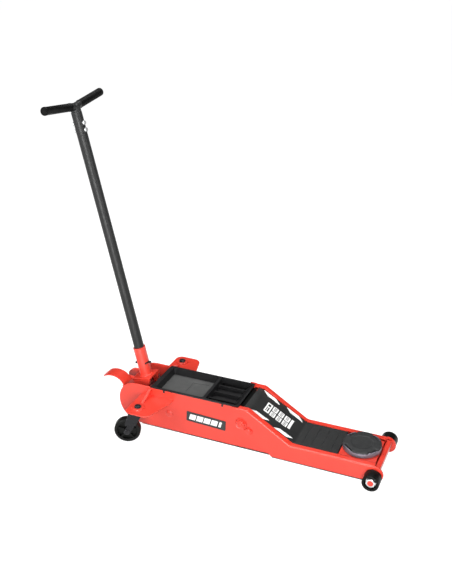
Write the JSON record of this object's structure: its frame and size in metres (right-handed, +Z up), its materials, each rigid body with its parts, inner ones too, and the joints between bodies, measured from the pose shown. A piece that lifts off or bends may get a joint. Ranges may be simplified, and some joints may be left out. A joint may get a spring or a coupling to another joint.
{
  "type": "hydraulic trolley jack",
  "caption": "low long-chassis hydraulic floor jack with swivelling saddle, levelled lift arm, tool tray, pump handle, foot pedal, front rollers and rear casters",
  "frame": {"origin": "on the floor, under the middle of the whole jack", "axes": "+X towards the saddle, +Y to the jack's left, +Z up and out of the saddle pad"},
  "size_m": [1.1662, 0.4468, 1.1654],
  "materials": {
    "red_paint": "gloss powder coat",
    "tube_paint": "satin dark grey coat",
    "black_plastic": "moulded, fine texture",
    "wheel_plastic": "moulded nylon",
    "pad_rubber": "matte",
    "zinc_steel": "zinc plated",
    "grey_iron": "grey phosphate",
    "black_bolt": "black oxide"
  },
  "bodies": {
    "root": {"rear_side_plate_l": "red_paint", "rear_side_plate_r": "red_paint", "front_side_plate_l": "red_paint", "front_side_plate_r": "red_paint", "caster_bracket_l": "red_paint", "caster_bracket_r": "red_paint", "trunnion_cap_l": "red_paint", "trunnion_cap_r": "red_paint", "label_plate_l": "black_plastic", "label_plate_r": "black_plastic", "rear_cross_plate": "red_paint", "front_cross_bar": "red_paint", "cylinder_cradle": "red_paint", "tool_tray": "black_plastic", "pump_block": "grey_iron", "hydraulic_cylinder": "grey_iron", "release_valve": "zinc_steel", "main_pivot_shaft": "zinc_steel", "pivot_nut_l": "red_paint", "pivot_nut_r": "red_paint", "link_bolt_l": "red_paint", "link_bolt_r": "red_paint", "front_axle": "red_paint", "axle_nut_l": "zinc_steel", "axle_nut_r": "zinc_steel", "yoke_pivot_pin": "zinc_steel", "pedal_pin": "zinc_steel", "caster_bolt_l": "black_bolt", "caster_bolt_r": "black_bolt"},
    "lift_arm": {"arm_plate_l": "red_paint", "arm_plate_r": "red_paint", "arm_pivot_tube": "red_paint", "ram_lever": "grey_iron", "lever_roller": "zinc_steel", "arm_cover": "black_plastic", "carrier_pin": "zinc_steel"},
    "carrier": {"saddle_carrier": "red_paint"},
    "saddle": {"saddle_bowl": "grey_iron", "saddle_pad": "pad_rubber"},
    "links": {"link_bar_l": "red_paint", "link_bar_r": "red_paint"},
    "ram": {"ram_rod": "zinc_steel"},
    "plunger": {"pump_plunger": "zinc_steel"},
    "roller_l": {"front_roller_l": "wheel_plastic"},
    "roller_r": {"front_roller_r": "wheel_plastic"},
    "caster_l": {"caster_fork_l": "black_bolt", "caster_axle_l": "zinc_steel"},
    "caster_r": {"caster_fork_r": "black_bolt", "caster_axle_r": "zinc_steel"},
    "wheel_l": {"caster_wheel_l": "wheel_plastic"},
    "wheel_r": {"caster_wheel_r": "wheel_plastic"},
    "yoke": {"handle_yoke": "red_paint"},
    "handle": {"handle_tube": "tube_paint", "handle_grip_bar": "tube_paint", "handle_cross_pin": "zinc_steel", "handle_bolt_1": "zinc_steel", "handle_bolt_2": "zinc_steel"},
    "pedal": {"foot_pedal": "red_paint", "pedal_lever": "red_paint"}
  },
  "joints": [
    {"name": "lift", "type": "hinge", "parent": "root", "child": "lift_arm", "pos_m": [0.0783, 0, 0.1108], "axis": [0, -1, 0], "range_deg": [0, 64]},
    {"name": "carrier_level", "type": "hinge", "parent": "lift_arm", "child": "carrier", "pos_m": [0.476, 0, 0.04], "axis": [0, -1, 0], "range_deg": [-64.5, 0.5]},
    {"name": "saddle_swivel", "type": "hinge", "parent": "carrier", "child": "saddle", "pos_m": [0.485, 0, 0.06], "axis": [0, 0, 1], "continuous": true},
    {"name": "link_swing", "type": "hinge", "parent": "root", "child": "links", "pos_m": [0.1073, 0, 0.0896], "axis": [0, -1, 0], "range_deg": [-0.5, 64.5]},
    {"name": "ram_stroke", "type": "slide", "parent": "root", "child": "ram", "axis": [1, 0, 0], "range_m": [-0.0005, 0.0665]},
    {"name": "roller_spin_l", "type": "hinge", "parent": "root", "child": "roller_l", "pos_m": [0.551, 0.116, 0.0292], "axis": [0, 1, 0], "continuous": true},
    {"name": "roller_spin_r", "type": "hinge", "parent": "root", "child": "roller_r", "pos_m": [0.551, -0.116, 0.0292], "axis": [0, 1, 0], "continuous": true},
    {"name": "caster_swivel_l", "type": "hinge", "parent": "root", "child": "caster_l", "pos_m": [-0.2795, 0.1786, 0.115], "axis": [0, 0, 1], "continuous": true},
    {"name": "caster_swivel_r", "type": "hinge", "parent": "root", "child": "caster_r", "pos_m": [-0.2795, -0.1786, 0.115], "axis": [0, 0, 1], "continuous": true},
    {"name": "wheel_spin_l", "type": "hinge", "parent": "caster_l", "child": "wheel_l", "pos_m": [-0.31709, 0.19228, 0.047], "axis": [0.342, 0.9397, 0], "continuous": true},
    {"name": "wheel_spin_r", "type": "hinge", "parent": "caster_r", "child": "wheel_r", "pos_m": [-0.31709, -0.19228, 0.047], "axis": [-0.342, 0.9397, 0], "continuous": true},
    {"name": "handle_pump", "type": "hinge", "parent": "root", "child": "yoke", "pos_m": [-0.334, 0, 0.118], "axis": [0, -1, 0], "range_deg": [-12, 50]},
    {"name": "handle_twist", "type": "hinge", "parent": "yoke", "child": "handle", "pos_m": [-0.3384, 0, 0.1585], "axis": [0.2266, 0, -0.974], "range_deg": [0, 35]},
    {"name": "plunger_stroke", "type": "slide", "parent": "root", "child": "plunger", "axis": [1, 0, 0], "range_m": [-0.007, 0.0275]},
    {"name": "pedal_press", "type": "hinge", "parent": "root", "child": "pedal", "pos_m": [-0.354, 0, 0.075], "axis": [0, -1, 0], "range_deg": [0, 16], "stiffness_Nm_per_rad": 2, "springref_deg": -28.65}
  ],
  "couplings": [
    {"joint": "carrier_level", "follows": "lift", "ratio": -1},
    {"joint": "link_swing", "follows": "lift", "ratio": 1},
    {"joint": "ram_stroke", "follows": "lift", "m_per_rad": 0.059},
    {"joint": "plunger_stroke", "follows": "handle_pump", "m_per_rad": 0.03}
  ]
}
